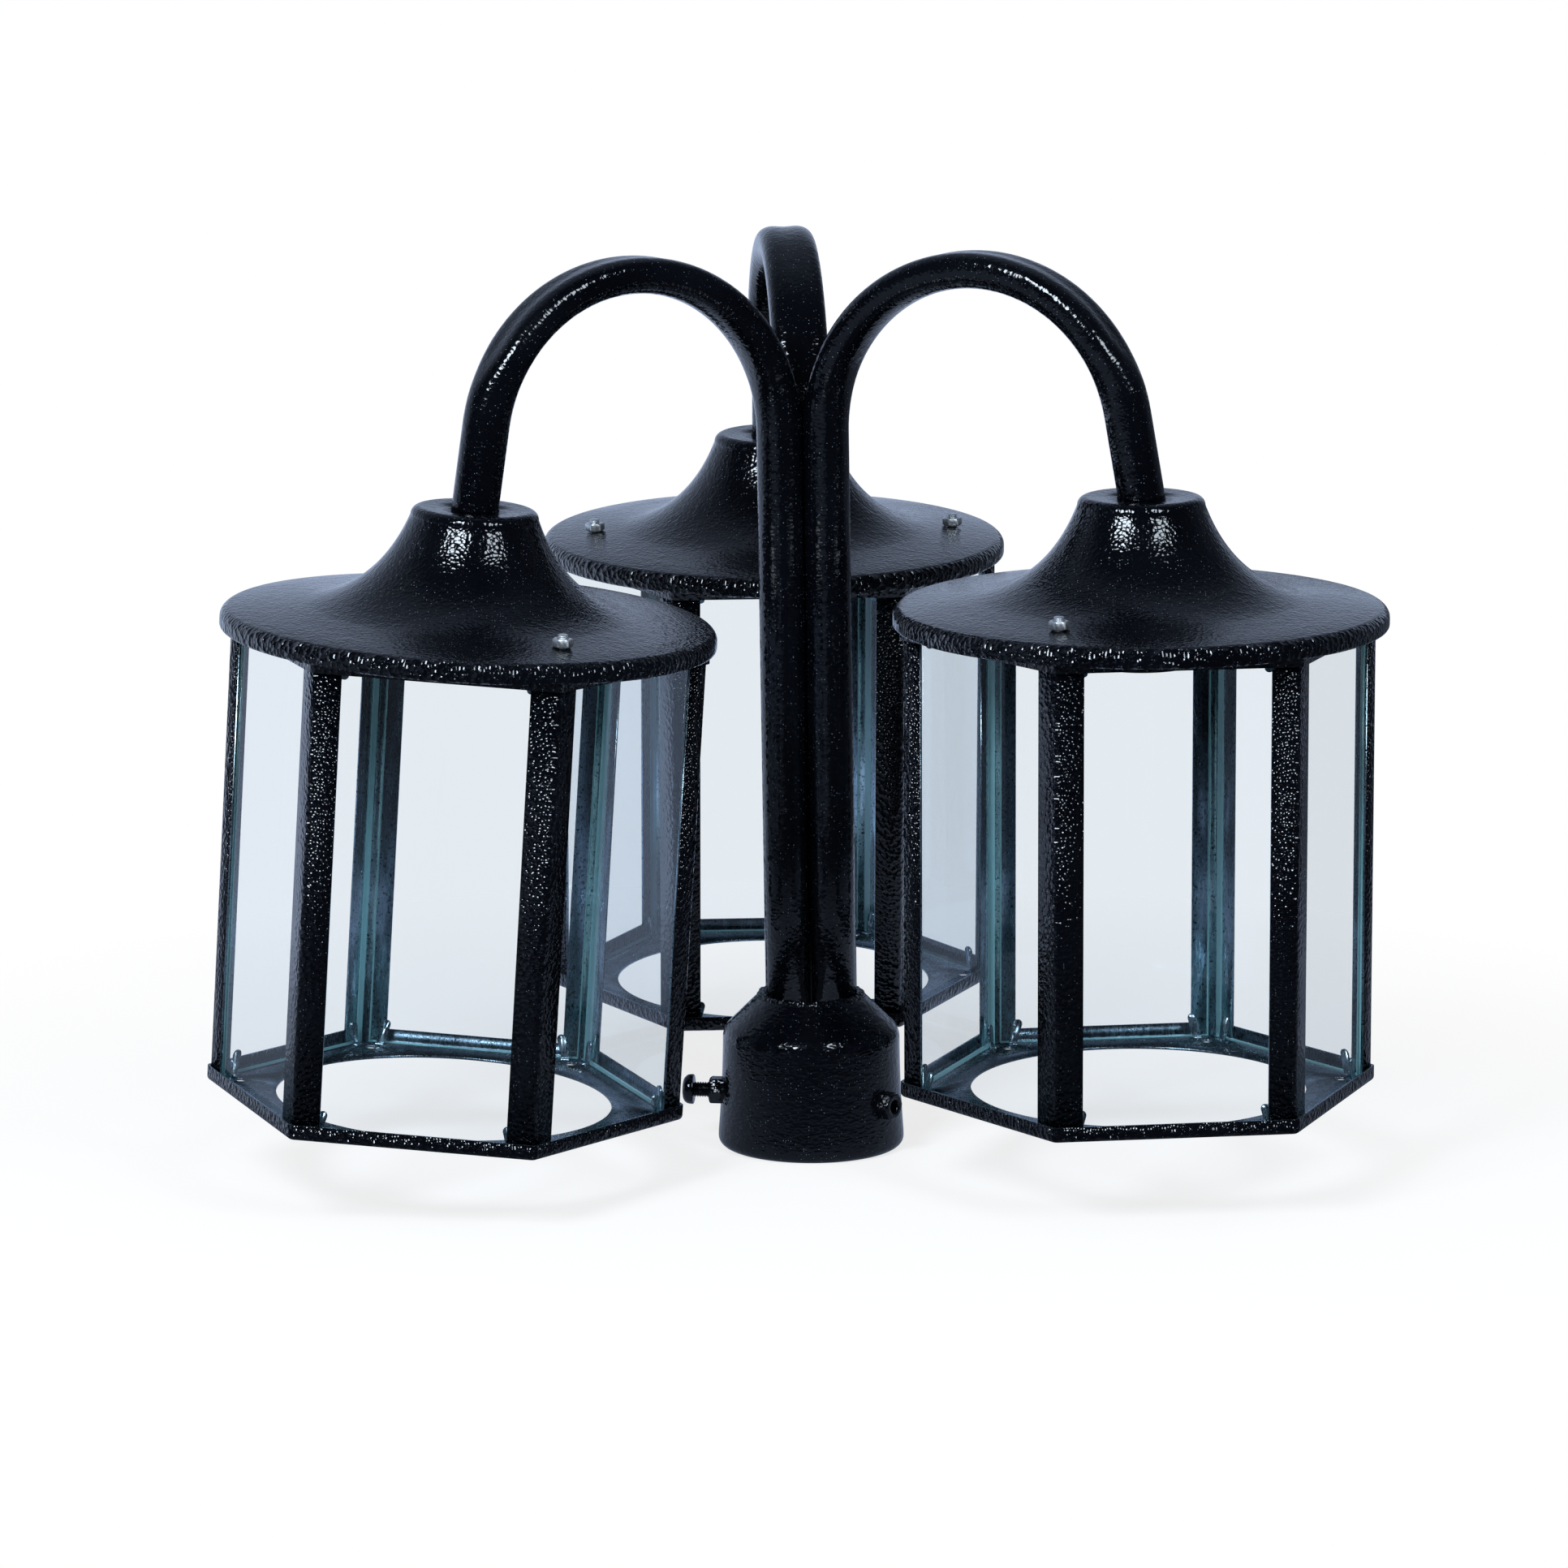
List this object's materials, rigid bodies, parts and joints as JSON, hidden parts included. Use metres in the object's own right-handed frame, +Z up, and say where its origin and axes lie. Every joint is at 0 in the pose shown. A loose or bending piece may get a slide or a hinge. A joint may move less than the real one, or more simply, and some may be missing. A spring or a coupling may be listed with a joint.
{
  "type": "post-top light",
  "caption": "Post-top light: hexagonal glazed lanterns hang below round lids from bent tube arms that rise in one bundle from a clamped collar.",
  "frame": {"origin": "centre of the collar's foot, on the axis of its bore", "axes": "+Z up along the bore; -Y towards the viewer of the picture; +X to the viewer's right"},
  "size_m": [0.4554, 0.4089, 0.3593],
  "materials": {
    "hammertone_paint": "black hammertone powder coat, glossy and dimpled, with fine silver flecks",
    "zinc_plated_steel": "dull zinc plating",
    "clear_glass": "clear, with a teal edge",
    "black_bakelite": "matt black moulding",
    "contact_brass": "plain brass"
  },
  "bodies": {
    "fitting": {"arm_back": "hammertone_paint", "arm_left": "hammertone_paint", "arm_right": "hammertone_paint", "bottom_tray_back": "hammertone_paint", "bottom_tray_left": "hammertone_paint", "bottom_tray_right": "hammertone_paint", "clamp_nuts": "hammertone_paint", "collar": "hammertone_paint", "corner_posts_back": "hammertone_paint", "corner_posts_left": "hammertone_paint", "corner_posts_right": "hammertone_paint", "glass_clips_back": "zinc_plated_steel", "glass_clips_left": "zinc_plated_steel", "glass_clips_right": "zinc_plated_steel", "holder_cap_back": "black_bakelite", "holder_cap_left": "black_bakelite", "holder_cap_right": "black_bakelite", "holder_shell_back": "black_bakelite", "holder_shell_left": "black_bakelite", "holder_shell_right": "black_bakelite", "lid_back": "hammertone_paint", "lid_fixings_back": "zinc_plated_steel", "lid_fixings_left": "zinc_plated_steel", "lid_fixings_right": "zinc_plated_steel", "lid_left": "hammertone_paint", "lid_right": "hammertone_paint", "nipple_set_back": "zinc_plated_steel", "nipple_set_left": "zinc_plated_steel", "nipple_set_right": "zinc_plated_steel", "pane_1_back": "clear_glass", "pane_1_left": "clear_glass", "pane_1_right": "clear_glass", "pane_2_back": "clear_glass", "pane_2_left": "clear_glass", "pane_2_right": "clear_glass", "pane_3_back": "clear_glass", "pane_3_left": "clear_glass", "pane_3_right": "clear_glass", "pane_4_back": "clear_glass", "pane_4_left": "clear_glass", "pane_4_right": "clear_glass", "pane_5_back": "clear_glass", "pane_5_left": "clear_glass", "pane_5_right": "clear_glass", "pane_6_back": "clear_glass", "pane_6_left": "clear_glass", "pane_6_right": "clear_glass", "stem_weld": "hammertone_paint", "top_frame_back": "hammertone_paint", "top_frame_left": "hammertone_paint", "top_frame_right": "hammertone_paint"},
    "clamp_screw_left": {"clamp_screw_left": "hammertone_paint"},
    "clamp_screw_back": {"clamp_screw_back": "hammertone_paint"},
    "centre_contact_left": {"centre_contact_left": "contact_brass"},
    "centre_contact_right": {"centre_contact_right": "contact_brass"},
    "centre_contact_back": {"centre_contact_back": "contact_brass"}
  },
  "joints": [
    {"name": "clamp_screw_left_travel", "type": "slide", "parent": "fitting", "child": "clamp_screw_left", "axis": [0.9925, -0.1219, 0], "range_m": [-0.004, 0.006]},
    {"name": "clamp_screw_back_travel", "type": "slide", "parent": "fitting", "child": "clamp_screw_back", "axis": [-0.3746, -0.9272, 0], "range_m": [-0.004, 0.006]},
    {"name": "centre_contact_left_travel", "type": "slide", "parent": "fitting", "child": "centre_contact_left", "axis": [0.061, -0.0122, 0.9981], "range_m": [0, 0.0018], "stiffness_N_per_m": 800},
    {"name": "centre_contact_right_travel", "type": "slide", "parent": "fitting", "child": "centre_contact_right", "axis": [-0.0052, -0.007, 1], "range_m": [0, 0.0018], "stiffness_N_per_m": 800},
    {"name": "centre_contact_back_travel", "type": "slide", "parent": "fitting", "child": "centre_contact_back", "axis": [0.0017, -0.0384, 0.9993], "range_m": [0, 0.0018], "stiffness_N_per_m": 800}
  ]
}
